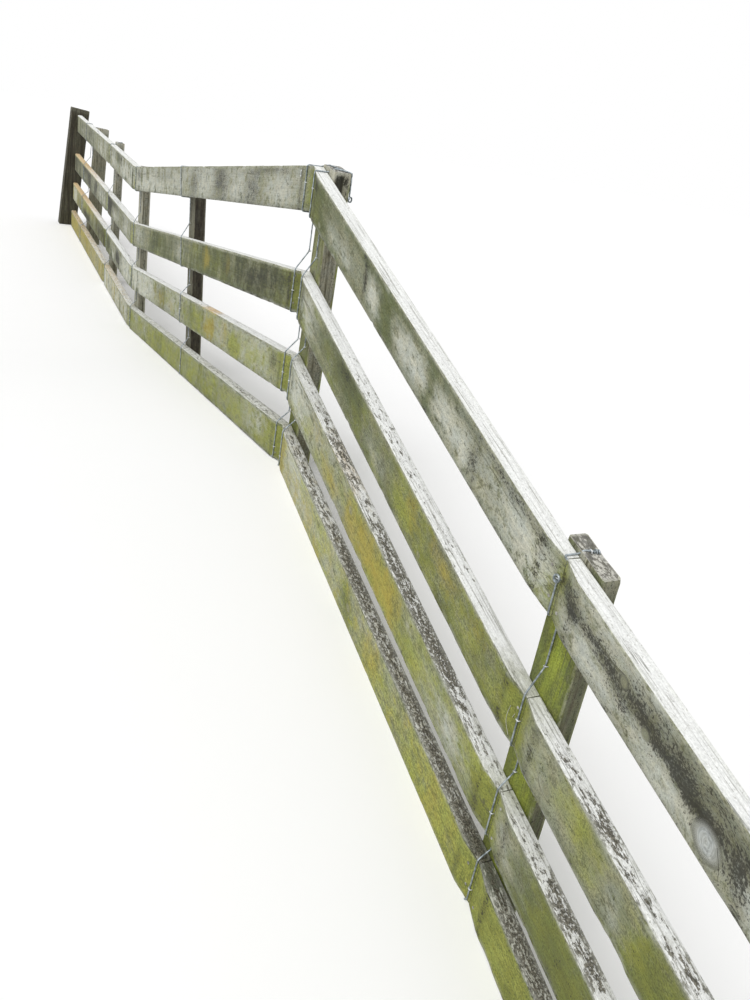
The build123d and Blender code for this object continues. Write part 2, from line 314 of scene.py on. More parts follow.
# How weathered each post is, at its foot and its top: its faces along the fence and the
# sides that look up and down it
POST_WEATHER = {
    "entry": (
        dict(algae=(0.4, 0.4), moss=(0.8, 0.7), mildew=(0.2, 0.2), bleach=(0.1, 0.2)),
        dict(algae=(0.4, 0.2), moss=(0.2, 0.0), mildew=(0.25, 0.25), bleach=(0.3, 0.6)),
    ),
    "bank": (
        dict(algae=(0.3, 0.1), moss=(0.7, 0.8), mildew=(0.15, 0.1), bleach=(0.1, 0.2)),
        dict(algae=(0.5, 0.4), moss=(0.1, 0.0), mildew=(0.35, 0.3), bleach=(0.1, 0.3)),
    ),
    "crest": (
        dict(algae=(0.5, 0.2), moss=(0.6, 0.5), mildew=(0.25, 0.15), bleach=(0.1, 0.5)),
        dict(algae=(0.3, 0.15), moss=(0.1, 0.0), mildew=(0.4, 0.3), bleach=(0.3, 0.6)),
    ),
    "middle": (
        dict(algae=(0.5, 0.4), mildew=(0.3, 0.3), bleach=(0.6, 0.6)),
        dict(algae=(0.2, 0.1), mildew=(0.3, 0.4), bleach=(0.15, 0.15)),
    ),
    "dip": (
        dict(algae=(0.4, 0.2), moss=(0.2, 0.0), mildew=(0.15, 0.15), bleach=(0.6, 0.7)),
        dict(algae=(0.2, 0.1), mildew=(0.3, 0.4), bleach=(0.4, 0.5)),
    ),
    "far": (
        dict(algae=(0.4, 0.2), mildew=(0.2, 0.2), bleach=(0.4, 0.7)),
        dict(algae=(0.2, 0.1), mildew=(0.3, 0.4), bleach=(0.3, 0.6)),
    ),
    "second_far": (
        dict(algae=(0.4, 0.3), mildew=(0.3, 0.2), bleach=(0.3, 0.4)),
        dict(algae=(0.3, 0.2), mildew=(0.3, 0.2), bleach=(0.3, 0.4)),
    ),
    "end": (
        dict(algae=(0.5, 0.4), mildew=(0.4, 0.4), bleach=(0.2, 0.2)),
        dict(algae=(0.5, 0.4), mildew=(0.4, 0.4), bleach=(0.2, 0.2)),
    ),
}
# The hollow in the crest post's near side: where it starts and ends, and how deep it is
HOLLOW_FROM_TOP = (0.016, 0.105)
HOLLOW_DEPTH = 0.010
# The posts' tops are too dry for moss down to here
DRY_TOP = 0.045
# Moss runs down the middle of the near posts' faces, with brown algae at both sides
MOSSY_POSTS = ("entry", "bank")
MOSS_STRIPE = (0.50, 0.22)

# Splinters lost from the front arrises: rail, upper 0 or lower 1, place, half length, depth
CHIPS = (
    ("entry_top", 0, 0.361, 0.030, 0.007),
    ("bank_top", 0, 0.676, 0.025, 0.007),
    ("entry_upper", 1, 0.465, 0.045, 0.009),
)
# Knots that stand out: rail, distance from its far end, distance down, half length
KNOTS = (
    ("entry_top", 0.554, 0.104, 0.031),
)
# What a point with no knot near it carries: a knot far away
NO_KNOT = (9.0, 9.0, 0.02)
# Cracks in the show faces, drawn as thin tubes of painted shadow where no pale splinter lifts: the rail,
# whether a pale splinter lifts there, and the points (distance from the rail's far end and down)
CRACKS = (
    ("entry_top", False, ((0.050, 0.074), (0.095, 0.070), (0.147, 0.069), (0.205, 0.052), (0.264, 0.040))),
    ("entry_top", False, ((0.575, 0.088), (0.592, 0.112), (0.600, 0.134))),
    ("entry_top", False, ((0.610, 0.104), (0.628, 0.112), (0.640, 0.128), (0.668, 0.136))),
    ("bank_upper", True, ((1.600, 0.064), (1.596, 0.088), (1.597, 0.112), (1.606, 0.126), (1.614, 0.137))),
    ("bank_upper", True, ((1.617, 0.070), (1.613, 0.084))),
)
CRACK_RADIUS = 0.0007

# Colours of timber that has stood outside for years; the colour under is painted shade, for faces that
# look down and for the insides of checks and splits
RAIL_COLOURS = dict(
    deep=(0.150, 0.158, 0.092), pale=(0.400, 0.405, 0.290), bleached=(0.60, 0.615, 0.54),
    top_deep=(0.50, 0.50, 0.46), top_pale=(0.86, 0.87, 0.85), end=(0.24, 0.22, 0.17),
    under=(0.10, 0.10, 0.06), moss=(0.400, 0.430, 0.065),
)
POST_COLOURS = dict(
    deep=(0.085, 0.080, 0.050), pale=(0.340, 0.330, 0.235), bleached=(0.56, 0.55, 0.46),
    top_deep=(0.070, 0.068, 0.062), top_pale=(0.60, 0.59, 0.53), end=(0.16, 0.15, 0.13),
    under=(0.10, 0.10, 0.07), moss=(0.38, 0.46, 0.045),
)
DARK_COLOURS = dict(
    deep=(0.016, 0.013, 0.009), pale=(0.105, 0.088, 0.062), bleached=(0.30, 0.29, 0.22),
    top_deep=(0.06, 0.055, 0.05), top_pale=(0.34, 0.32, 0.29), end=(0.12, 0.11, 0.10),
    under=(0.03, 0.028, 0.022), moss=(0.38, 0.46, 0.045),
)
ALGAE = (0.105, 0.128, 0.040)
MOSS_DEEP = (0.150, 0.168, 0.034)
MILDEW = (0.028, 0.027, 0.019)
LICHEN_DARK = (0.046, 0.040, 0.024)
LICHEN_GREY = (0.185, 0.172, 0.125)
OCHRE_DEEP = (0.34, 0.295, 0.060)
OCHRE = (0.50, 0.405, 0.080)
TOP_DAMP = (0.040, 0.046, 0.020)
TOP_ALGAE = (0.20, 0.20, 0.075)
TAN = (0.62, 0.42, 0.17)
RUST = (0.20, 0.10, 0.05)
# The heart of a large knot, and the tints that the grain's own colour drifts between
HEART_DEEP = (0.47, 0.485, 0.47)
HEART_PALE = (0.53, 0.55, 0.54)
WARM_TINT = (1.03, 1.0, 0.93)
COOL_TINT = (0.98, 1.0, 1.01)

# Lashings: thick fencing wire, just clear of the timber, with a staple part way down each face
DOWN = Vector((0, 0, -1))
WIRE_RADIUS = 0.0024
WIRE_CLEAR = 0.0026
WIRE_BEND = 0.008
END_CLEAR = 0.003
# How far under a rail the wire goes back, and how far over a post's top it lies
WIRE_BACK = -0.006
POST_TOP_CLEAR = 0.0018
STAPLE_RADIUS = 0.0016
STAPLE_HALF = 0.0052
STAPLE_SHAPE = ((-1, -0.004), (-1, 0.0026), (-0.5, 0.0052), (0.5, 0.0052), (1, 0.0026), (1, -0.004))
FACE_STAPLES = (0.37, 0.49, 0.51, 0.68)
# Nails, a little scattered: distance from a rail's end, distances down, head, share that shows
NAIL_INSET = 0.026
NAIL_ROWS = (0.036, 0.114)
NAIL_SCATTER = (0.010, 0.016)
NAIL_HEAD = (0.0030, 0.0012)
NAILS_SHOWN = 0.7
# A head's outline: reach and lift at each ring, as parts of its radius and height
HEAD_PROFILE = ((1.0, -0.2), (1.0, 0.35), (0.82, 0.8), (0.45, 1.0))
# Under a rail the wire turns back to the post and is stapled on it lower in the gap
GAP_BENDS = (0.04, 0.66)
# The posts with one wire, and the run whose rails it crosses
WIRE_RUNS = {
    "bank": "bank", "dip": "far", "far": "end", "entry": "entry", "middle": "middle", "second_far": "end",
}
# The rail that ends at a joint from the near side, and how far the wire stands off the joint
NEAR_RAILS = {"bank": "entry_top", "crest": "bank_top", "dip": "middle_top", "far": "far_top"}
JOINT_SHIFT = {"entry": -0.036, "bank": -0.012, "dip": -0.004, "far": -0.004}
# The crest's two wires: name, run, distance from the joint, and how far each lead sways
CREST_WIRES = (("near", "bank", 0.036, -0.008), ("far", "middle", -0.036, 0.012))
# The middle wire hangs askew: its place along the fence on each rail, above and below
MIDDLE_WIRE = ((-1.9035, -1.8565), (-1.7955, -1.7635), (-1.7275, -1.7105), (-1.6305, -1.6200))


def lerp(a, b, share):
    return a + (b - a) * share


def smooth(low, high, value):
    """0 below low, 1 above high, with a smooth turn between them."""
    share = min(1.0, max(0.0, (value - low) / (high - low)))
    return share * share * (3 - 2 * share)


def ripple(x, y, z):
    """Smooth noise from -1 to 1."""
    return noise.noise(Vector((x, y, z)))


def scattered(count, *ranges):
    """Rows of random numbers, each row with one out of every range."""
    return [tuple(random.uniform(*limits) for limits in ranges) for _ in range(count)]


def link(name, data):
    """Puts a new object in the scene."""
    thing = bpy.data.objects.new(name, data)
    bpy.context.scene.collection.objects.link(thing)
    return thing


class Surface:
    """Points and faces that become one piece of the scene."""

    sharp = 40

    def __init__(self):
        self.points = []
        self.faces = []

    def bridge(self, first, second):
        """Faces between two rings of the same length."""
        count = len(first)
        for k in range(count):
            n = (k + 1) % count
            self.faces.append((first[k], first[n], second[n], second[k]))

    def build(self, name, material, node, slot):
        """Makes the piece, in place of a solid of the frame if one is named."""
        mesh = bpy.data.meshes.new(name)
        mesh.from_pydata([tuple(p) for p in self.points], [], self.faces)
        mesh.shade_smooth()
        mesh.set_sharp_from_angle(angle=math.radians(self.sharp))
        mesh.materials.append(material)
        piece = link(name, mesh)
        if node:
            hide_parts(node)
        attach(piece, "root")
        return mesh


class Skin(Surface):
    """Points with their grain and weather, joined into one closed mesh."""

    def __init__(self):
        super().__init__()
        self.layers = {"grain": [], "growth": [], "fading": [], "wear": [], "knot": []}

    def add(self, point, **layers):
        self.points.append(point)
        for name, values in self.layers.items():
            values.append(layers[name])
        return len(self.points) - 1

    def cap(self, ring, outward, rough, seed):
        """Closes the skin over a ring, with rings that shrink to its middle."""
        rim = [self.points[i] for i in ring]
        middle = sum(rim, Vector()) / len(rim)
        last = ring
        for share in CAP_RINGS:
            inner = []
            for index, corner in zip(ring, rim):
                point = corner.lerp(middle, share)
                dent = rough * ripple(point.x * 40 + seed, point.y * 160, point.z * 40)
                kept = self.cap_layers(ring, index, share)
                kept["wear"] = (0.0, 1.0, kept["wear"][2] * 0.5)
                inner.append(self.add(point - outward * abs(dent), **kept))
            self.bridge(last, inner)
            last = inner
        kept = self.cap_layers(ring, ring[0], 1.0)
        kept["wear"] = self.layers["wear"][last[0]]
        centre = self.add(middle, **kept)
        for k in range(len(last)):
            self.faces.append((last[k], last[(k + 1) % len(last)], centre))

    def cap_layers(self, ring, index, share):
        """A point's layers on a cut end, with its grain between the rim and the middle."""
        kept = {name: values[index] for name, values in self.layers.items()}
        grains = [Vector(self.layers["grain"][i]) for i in ring]
        middle = sum(grains, Vector()) / len(grains)
        kept["grain"] = tuple(Vector(kept["grain"]).lerp(middle, share))
        return kept

    def build(self, name, material, node, slot):
        mesh = super().build(name, material, node, slot)
        for layer, values in self.layers.items():
            data = mesh.attributes.new(layer, "FLOAT_VECTOR", "POINT")
            data.data.foreach_set("vector", [v for value in values for v in value])


def in_metres(mark):
    """A mark's millimetres and hundredths, as metres and parts of one."""
    return (*(v / 1000 for v in mark[:-1]), mark[-1] / 100)


def listed(marks):
    """The marks of one rail, each with its kind."""
    return [(kind, in_metres(mark)) for kind, group in marks.items() for mark in group]


class Board:
    """Where a rail lies, read from its solid: along it, back from its face, and up."""

    def __init__(self, run, row):
        self.run = run
        self.key = f"{run}_{row}"
        self.name = f"{run}_rail_{row}"
        self.marks = listed(MARKS.get(self.key, {}))
        self.top_marks = listed(TOP_MARKS.get(self.key, {}))
        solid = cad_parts[self.name]
        points = [solid.matrix_world @ v.co for v in solid.data.vertices]
        self.far = self.end_corner(points, min(p.x for p in points))
        near = self.end_corner(points, max(p.x for p in points))
        line = near - self.far
        self.length = math.hypot(line.x, line.y)
        self.slope = line.z / self.length
        self.along = Vector((line.x, line.y, 0)).normalized()
        self.back = Vector((-self.along.y, self.along.x, 0))

    @staticmethod
    def end_corner(points, x):
        """The top back corner of the rail's end at x."""
        here = [p for p in points if abs(p.x - x) < 0.004]
        back = max(here, key=lambda p: p.y)
        return Vector((back.x, back.y, max(p.z for p in here)))

    def at(self, s, depth, up):
        """A point s along the rail; depth is 0 on the back and -0.05 on the face."""
        rise = Vector((0, 0, self.slope * s + up))
        return self.far + self.along * s + self.back * depth + rise

    def face(self, s):
        """Depth of the show face, which the end bevels cut back."""
        end = min(s, self.length - s)
        return -RAIL_THICKNESS + BEVEL_DEPTH * max(0.0, 1 - end / BEVEL_LENGTH)

    def on_face(self, s, down, out=0.0):
        """A point of the show face, or one that stands out from it."""
        return self.at(s, self.face(s) - out, -down)

    def s_at(self, x):
        """The distance along the rail at a place on the fence's X axis."""
        return (x - self.far.x) / self.along.x

    def s_inside(self, x):
        """The same, kept off the rail's very ends."""
        return min(max(self.s_at(x), END_CLEAR), self.length - END_CLEAR)


def corner_point(corner, degrees):
    """A point of a rounded corner of the outline, as (depth, up)."""
    y, z, side, up, radius = corner
    angle = math.radians(degrees)
    return (y - side * radius + radius * math.cos(angle), z - up * radius + radius * math.sin(angle))


def section(face, radii, counts, corner_steps):
    """A rail's outline at one ring: points (depth, up, wear), clockwise from its top."""
    corners = (
        (face, 0.0, -1, 1, radii[0]),
        (face, -RAIL_HEIGHT, -1, -1, radii[1]),
        (0.0, -RAIL_HEIGHT, 1, -1, radii[2]),
        (0.0, 0.0, 1, 1, radii[3]),
    )
    outline = []
    for k, corner in enumerate(corners):
        start_angle = 90 * (k + 1)
        for step in range(corner_steps + 1):
            outline.append((*corner_point(corner, start_angle + 90 * step / corner_steps), 1.0))
        start = outline[-1]
        stop = corner_point(corners[(k + 1) % 4], start_angle + 90)
        width = math.hypot(stop[0] - start[0], stop[1] - start[1])
        for step in range(1, counts[k]):
            share = step / counts[k]
            reach = min(share, 1 - share) * width
            wear = max(0.0, 1 - reach / WORN_WIDTH)
            outline.append((lerp(start[0], stop[0], share), lerp(start[1], stop[1], share), wear))
    return outline


def make_chips(board):
    """Places where the front arrises have lost a splinter: centre, half length, depth."""
    chips = ([], [])
    for rail, edge, centre, half, depth in CHIPS:
        if rail == board.key:
            chips[edge].append((centre, half, depth))
    count = int(board.length * CHIPS_PER_METRE)
    for corner in chips:
        corner += scattered(count, (0.05, board.length - 0.05), (0.008, 0.05), (0.002, 0.006))
    return chips


def corner_radius(s, seed, corner, chips):
    """Radius of a rail's arris at s, with the wear and the splinters it has lost."""
    radius = ARRIS_RADIUS + 0.0012 * ripple(s * 7, seed, corner)
    radius += 0.0025 * max(0.0, ripple(s * 2.1, seed + 9, corner))
    if corner < len(chips):
        for centre, half, depth in chips[corner]:
            radius += depth * smooth(1.0, 0.35, abs(s - centre) / half)
    return max(ARRIS_LEAST, radius)


def patch(reach):
    """How much of a patch is left at a squared distance from its middle."""
    return math.exp(-reach)


def mixed_levels(weather, share):
    """Weathering between two ends, with nothing of the kinds that aren't named."""
    levels = {kind: 0.0 for kind in WEATHER_KINDS}
    for kind, (first, last) in weather.items():
        levels[kind] = lerp(first, last, share)
    return levels


def rail_weather(board, share, s, down, end):
    """How much of each kind of weathering a point of a rail's face has."""
    levels = mixed_levels(RAIL_WEATHER[board.key], share)
    if board.run in STREAKY_RUNS:
        levels["streak"] = 1.0
    levels["algae"] += 0.6 * JOINT_ALGAE * math.exp(-end / JOINT_REACH)
    levels["moss"] += JOINT_ALGAE * math.exp(-end / JOINT_REACH)
    # Greener and darker towards the lower arris
    levels["algae"] += LOWER_EDGE_DARKENING * smooth(0.10, 0.15, down)
    levels["mildew"] += LOWER_EDGE_DARKENING * smooth(0.132, 0.15, down)
    levels["mildew"] += BEVEL_MILDEW * math.exp(-((end - BEVEL_LINE) / 0.014) ** 2)
    s += 0.030 * ripple(s * 11, down * 22, 1) + 0.010 * ripple(s * 45, down * 60, 2)
    down += 0.012 * ripple(s * 16, down * 20, 3) + 0.006 * ripple(s * 60, down * 80, 4)
    for kind, (along, drop, half, tall, amount) in board.marks:
        levels[kind] += amount * patch(((s - along) / half) ** 2 + ((down - drop) / tall) ** 2)
    return levels


def top_weather(board, share, s, end):
    """How much of each kind of weathering a point of a rail's upper edge has."""
    levels = mixed_levels(TOP_WEATHER.get(board.key, {}), share)
    levels["algae"] += 0.4 * JOINT_ALGAE * math.exp(-end / JOINT_REACH)
    for kind, (along, half, amount) in board.top_marks:
        levels[kind] += amount * patch(((s - along) / half) ** 2)
    return levels


def nearest_knot(knots, s, down):
    """Offset to the nearest knot of a rail, and that knot's half length."""
    if not knots:
        return NO_KNOT
    along, drop, half = min(knots, key=lambda k: math.hypot((s - k[0]), (down - k[1]) * 2) / k[2])
    return (s - along, down - drop, half)


def make_knots(board):
    """A few knots at random, and those that stand out on this rail."""
    count = int(board.length * KNOTS_PER_METRE)
    knots = scattered(count, (0.1, board.length - 0.1), (0.02, RAIL_HEIGHT - 0.02), (0.006, 0.014))
    return knots + [knot for rail, *knot in KNOTS if rail == board.key]


def grown(levels, wear):
    """A point's levels, sorted into the layers that the materials read."""
    return dict(
        growth=(levels["algae"], levels["mildew"], levels["lichen"]),
        fading=(levels["bleach"], levels["ochre"], levels["streak"]),
        wear=(wear, 0.0, levels["moss"]),
    )


def sawn_point(board, s, depth, up, seed):
    """A point of a rail's skin, a hair inside the flat solid."""
    hollow = 0.0007 * ripple(s * 3, seed + depth * 60, up * 30)
    hollow += 0.0004 * ripple(s * 14, seed + depth * 300, up * 160)
    inward = abs(hollow) + SAWN_INSET
    if up > -EDGE_BAND:
        sag = 0.0012 * ripple(s * 1.3, seed, 4)
        return board.at(s, depth, up - inward - abs(sag))
    if up < -RAIL_HEIGHT + EDGE_BAND:
        return board.at(s, depth, up + inward)
    toward = 1 if depth < -RAIL_THICKNESS / 2 else -1
    return board.at(s, depth + toward * inward, up)


def rail_ring(skin, board, share, seed, chips, knots):
    """One ring of a rail's skin."""
    s = lerp(-BUTT_REACH, board.length + BUTT_REACH, share)
    end = max(0.0, min(s, board.length - s))
    radii = [corner_radius(s, seed, k, chips) for k in range(4)]
    counts = FINE_COUNTS if board.run in NEAR_RUNS else COARSE_COUNTS
    ring = []
    for depth, up, wear in section(board.face(s), radii, *counts):
        if up > -EDGE_BAND:
            levels = top_weather(board, share, s, end)
        else:
            levels = rail_weather(board, share, s, -up, end)
        ring.append(skin.add(
            sawn_point(board, s, depth, up, seed),
            grain=(s + seed, depth + seed * 0.37, up + seed * 0.61),
            knot=nearest_knot(knots, s, -up) if depth < -0.03 else NO_KNOT,
            **grown(levels, wear),
        ))
    return ring


def make_rail(board, material):
    """A sawn board with worn arrises, in place of the rail's solid."""
    seed = random.uniform(0, 50)
    chips = make_chips(board)
    knots = make_knots(board)
    skin = Skin()
    total = max(2, round(board.length / RING_STEP[board.run]))
    rings = [rail_ring(skin, board, i / total, seed, chips, knots) for i in range(total + 1)]
    for last, ring in zip(rings, rings[1:]):
        skin.bridge(ring, last)
    skin.cap(rings[0], -board.along, END_DENTS, seed)
    tail_start = len(skin.faces)
    skin.cap(rings[-1], board.along, END_DENTS, seed + 3)
    for k in range(tail_start, len(skin.faces)):
        skin.faces[k] = tuple(reversed(skin.faces[k]))
    skin.build(board.name + "_timber", material, board.name, "rail_timber")


def corner_rings(name):
    """The eight corners of a post's foot and of its top, in order round it."""
    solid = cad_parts[name]
    points = {tuple(round(v, 5) for v in solid.matrix_world @ p.co) for p in solid.data.vertices}
    points = [Vector(p) for p in points]
    low = min(p.z for p in points)
    foot = [p for p in points if p.z < low + 0.001]
    top = [p for p in points if p.z >= low + 0.001]
    rings = []
    for ring in (foot, top):
        middle = sum(ring, Vector()) / len(ring)
        rings.append(sorted(ring, key=lambda p: math.atan2(p.y - middle.y, p.x - middle.x)))
    return rings


def even_ring(corners, step):
    """Shares along each side of a ring of corners: (corner, next corner, share)."""
    marks = []
    for k, corner in enumerate(corners):
        following = corners[(k + 1) % len(corners)]
        count = max(1, round((following - corner).length / step))
        marks += [(k, (k + 1) % len(corners), i / count) for i in range(count)]
    return marks


def crest_hollow(down, across):
    """How far the crest post's near side has rotted in, from 0 to 1."""
    first, last = HOLLOW_FROM_TOP
    edge = 0.5 * ripple(down * 45, across * 5, 2)
    frayed = down + 0.010 * ripple(across * 14, 3, down * 8)
    tall = smooth(first - 0.012, first + 0.006, frayed) * smooth(last + 0.04, last - 0.03, frayed)
    return tall * smooth(0.05, 0.55, min(across, 1 - across) * 2 + edge)


def post_weather(name, share, on_side, part, point, drop, seed):
    """How much of each kind of weathering a point of a post has."""
    faces, sides = POST_WEATHER[name]
    levels = mixed_levels(sides if on_side else faces, share)
    if name in MOSSY_POSTS and not on_side:
        centre, half = MOSS_STRIPE
        centre += 0.10 * ripple(point.z * 5, seed, 6)
        stripe = patch(((part - centre) / half) ** 2)
        levels["moss"] += 0.60 * stripe - 0.25
        levels["algae"] += 0.75 * (1 - stripe) - 0.1
    dry = smooth(DRY_TOP, 0.5 * DRY_TOP, drop)
    levels["moss"] *= 1 - 0.9 * dry
    levels["bleach"] += 0.25 * dry
    return levels


def split_depth(point, seed, share):
    """How far a post's fibres stand back from its flat solid."""
    fibre = ripple(point.z * 2.5, point.x * 90 + seed, point.y * 90)
    coarse = ripple(point.z * 1.3 + seed, point.x * 25, point.y * 25)
    round_top = 0.002 * smooth(0.992, 1.0, share)
    return 0.0007 * (1 + fibre) + 0.0008 * (1 + coarse) + round_top


def post_ring(skin, name, corners, marks, share, seed):
    """One ring of a post's skin."""
    foot, top = corners
    middle = (sum(foot, Vector()) / len(foot)).lerp(sum(top, Vector()) / len(top), share)
    ring = []
    for first, second, part in marks:
        side = foot[second] - foot[first]
        high = top[first].lerp(top[second], part)
        point = foot[first].lerp(foot[second], part).lerp(high, share)
        outward = point - middle
        outward.z = 0
        outward.normalize()
        inward = split_depth(point, seed, share)
        on_side = abs(side.y) > 1.5 * abs(side.x)
        levels = post_weather(name, share, on_side, part, point, high.z - point.z, seed)
        if name == "crest" and on_side and outward.x > 0:
            sunk = crest_hollow(high.z - point.z, part)
            inward += HOLLOW_DEPTH * sunk
            streaky = 0.7 + 0.9 * ripple(point.z * 12, part * 26, 5)
            levels["mildew"] += 0.9 * sunk * streaky
            levels["bleach"] -= 0.6 * sunk * streaky
        ring.append(skin.add(
            point - outward * inward,
            grain=(point.z + seed, point.y + seed, point.x),
            knot=NO_KNOT,
            **grown(levels, 1.0 if side.length < WORN_WIDTH else 0.0),
        ))
    return ring


def make_post(name, material, slot):
    """A split post with fibres, worn corners and a weathered top."""
    node = name + "_post"
    corners = corner_rings(node)
    foot, top = corners
    seed = random.uniform(0, 50)
    marks = even_ring(foot, POST_STEP)
    total = round((top[0].z - foot[0].z) / POST_STEP)
    skin = Skin()
    rings = [post_ring(skin, name, corners, marks, i / total, seed) for i in range(total + 1)]
    for last, ring in zip(rings, rings[1:]):
        skin.bridge(last, ring)
    skin.cap(rings[-1], -DOWN, POST_TOP_DENTS, seed)
    skin.faces.append(tuple(reversed(rings[0])))
    skin.build(node + "_timber", material, node, slot)


class Nodes:
    """A short way to write the node tree of a material."""

    def __init__(self, name):
        self.material = bpy.data.materials.new(name)
        self.material.use_nodes = True
        self.tree = self.material.node_tree
        self.tree.nodes.clear()

    def add(self, kind, inputs=(), **settings):
        node = self.tree.nodes.new(kind)
        for key, value in settings.items():
            setattr(node, key, value)
        for key, value in dict(inputs).items():
            self.feed(node.inputs[key], value)
        return node

    def feed(self, socket, value):
        if isinstance(value, bpy.types.NodeSocket):
            self.tree.links.new(value, socket)
        elif isinstance(value, tuple) and len(value) == 3 and socket.type == "RGBA":
            socket.default_value = (*value, 1)
        else:
            socket.default_value = value

    def layer(self, name):
        """The three values of one of the skin's layers."""
        return self.split(self.add("ShaderNodeAttribute", attribute_name=name).outputs["Vector"])

    def split(self, vector):
        node = self.add("ShaderNodeSeparateXYZ", {"Vector": vector})
        return node.outputs["X"], node.outputs["Y"], node.outputs["Z"]

    def join(self, x, y, z):
        return self.add("ShaderNodeCombineXYZ", {"X": x, "Y": y, "Z": z}).outputs["Vector"]

    def noise(self, vector, scale, detail, roughness=0.55):
        inputs = {"Vector": vector, "Scale": scale, "Detail": detail, "Roughness": roughness}
        return self.add("ShaderNodeTexNoise", inputs).outputs["Fac"]

    def drawn(self, vector, per_metre, detail, roughness=0.55):
        """Noise with its own fineness along each axis."""
        node = self.add("ShaderNodeVectorMath", {0: vector, 1: per_metre}, operation="MULTIPLY")
        return self.noise(node.outputs["Vector"], 1.0, detail, roughness)

    def math(self, operation, a, b=0.0):
        return self.add("ShaderNodeMath", {0: a, 1: b}, operation=operation).outputs["Value"]

    def times(self, a, b):
        return self.math("MULTIPLY", a, b)

    def plus(self, a, b):
        return self.math("ADD", a, b)

    def off(self, value, middle):
        """How far a value is from a middle one, either way."""
        return self.math("ABSOLUTE", self.math("SUBTRACT", value, middle))

    def both(self, a, a_share, b, b_share):
        """Two patterns added up, each by its share."""
        return self.plus(self.times(a, a_share), self.times(b, b_share))

    def band(self, value, low, high, to_low=0.0, to_high=1.0):
        """A smooth step between low and high."""
        inputs = {"Value": value, "From Min": low, "From Max": high, "To Min": to_low, "To Max": to_high}
        return self.add("ShaderNodeMapRange", inputs, interpolation_type="SMOOTHSTEP").outputs["Result"]

    def between(self, share, a, b):
        """A plain value between two others."""
        return self.add("ShaderNodeMix", {0: share, 2: a, 3: b}).outputs[0]

    def mix(self, share, a, b, blend="MIX"):
        node = self.add("ShaderNodeMix", data_type="RGBA", blend_type=blend)
        self.feed(node.inputs[0], share)
        self.feed(node.inputs[6], a)
        self.feed(node.inputs[7], b)
        return node.outputs[2]

    def dim(self, color, level):
        """A colour made darker or lighter by one level."""
        return self.mix(1.0, color, self.join(level, level, level), "MULTIPLY")

    def cover(self, amount, pattern, spread, soft):
        """Where a growth shows: more of its pattern as its amount goes up."""
        centred = self.times(self.math("SUBTRACT", pattern, 0.5), spread)
        shown = self.band(self.plus(centred, amount), 0.5 - soft, 0.5 + soft)
        return self.times(shown, self.band(amount, 0.02, 0.14))

    def finish(self, color, roughness, height, bump, distance, metallic=0.0):
        inputs = {"Base Color": color, "Roughness": roughness, "Metallic": metallic}
        shader = self.add("ShaderNodeBsdfPrincipled", inputs)
        bumps = self.add("ShaderNodeBump", {"Strength": bump, "Distance": distance, "Height": height})
        self.feed(shader.inputs["Normal"], bumps.outputs["Normal"])
        output = self.add("ShaderNodeOutputMaterial")
        self.tree.links.new(shader.outputs["BSDF"], output.inputs["Surface"])
        return self.material


class Patterns:
    """The layers of a skin, and the noises that a timber's colours are mixed from."""

    def __init__(self, n):
        grain_x, grain_y, grain_z = n.layer("grain")
        self.algae, self.mildew, self.lichen = n.layer("growth")
        self.bleach, self.ochre, self.streak = n.layer("fading")
        self.edge, self.cut, self.moss = n.layer("wear")
        knot_x, self.knot_z, knot_size = n.layer("knot")
        oval = n.join(knot_x, n.times(self.knot_z, 1.15), 0.0)
        oval = n.add("ShaderNodeVectorMath", {0: oval}, operation="LENGTH").outputs["Value"]
        self.knot = n.math("DIVIDE", oval, knot_size)
        self.knot_rings = n.noise(n.join(n.times(self.knot, 5.0), knot_size, 0.0), 1.0, 2.0)
        self.large = n.band(knot_size, 0.018, 0.022)
        # the grain flows round each knot, and goes round and round inside it
        pull = n.band(self.knot, 4.0, 0.0)
        bent = n.plus(grain_z, n.times(n.times(self.knot_z, pull), 0.85))
        grain = n.join(grain_x, grain_y, n.between(n.band(self.knot, 1.3, 0.8), bent, oval))
        self.add_noises(n, grain)

    def add_noises(self, n, grain):
        self.fibre = n.drawn(grain, (12, 640, 640), 2.0)
        self.strand = n.drawn(grain, (6, 230, 230), 3.0, 0.6)
        self.fine = n.drawn(grain, (190, 230, 230), 3.0, 0.65)
        self.tint = n.drawn(grain, (26, 34, 34), 4.0, 0.6)
        self.tuft = n.drawn(grain, (9, 30, 30), 4.0, 0.6)
        self.mottle = n.drawn(grain, (30, 46, 46), 8.0, 0.76)
        self.broad = n.drawn(grain, (7, 10, 10), 4.0, 0.6)
        self.crust = n.drawn(grain, (34, 85, 85), 6.0, 0.72)
        self.grit = n.drawn(grain, (110, 150, 150), 2.0, 0.6)
        self.lengths = n.drawn(grain, (3, 75, 75), 5.0, 0.7)
        self.strands = n.both(self.lengths, 0.6, self.strand, 0.4)
        blotch = n.drawn(grain, (16, 20, 20), 7.0, 0.7)
        self.patchy = n.both(blotch, 0.4, self.mottle, 0.6)
        drip = n.drawn(grain, (12, 3, 5), 3.0)
        self.runny = n.both(drip, 0.62, self.mottle, 0.38)
        line = n.off(n.drawn(grain, (1.6, 34, 34), 2.0), 0.5)
        where = n.band(n.drawn(grain, (1.8, 12, 12), 1.0), 0.56, 0.64)
        self.splits = n.times(n.band(line, 0.010, 0.002), where)
        check = n.off(n.drawn(grain, (1, 26, 7), 3.0, 0.6), 0.5)
        self.checks = n.band(check, 0.018, 0.004)
        self.char = n.band(n.drawn(grain, (1, 34, 26), 5.0, 0.65), 0.46, 0.56)


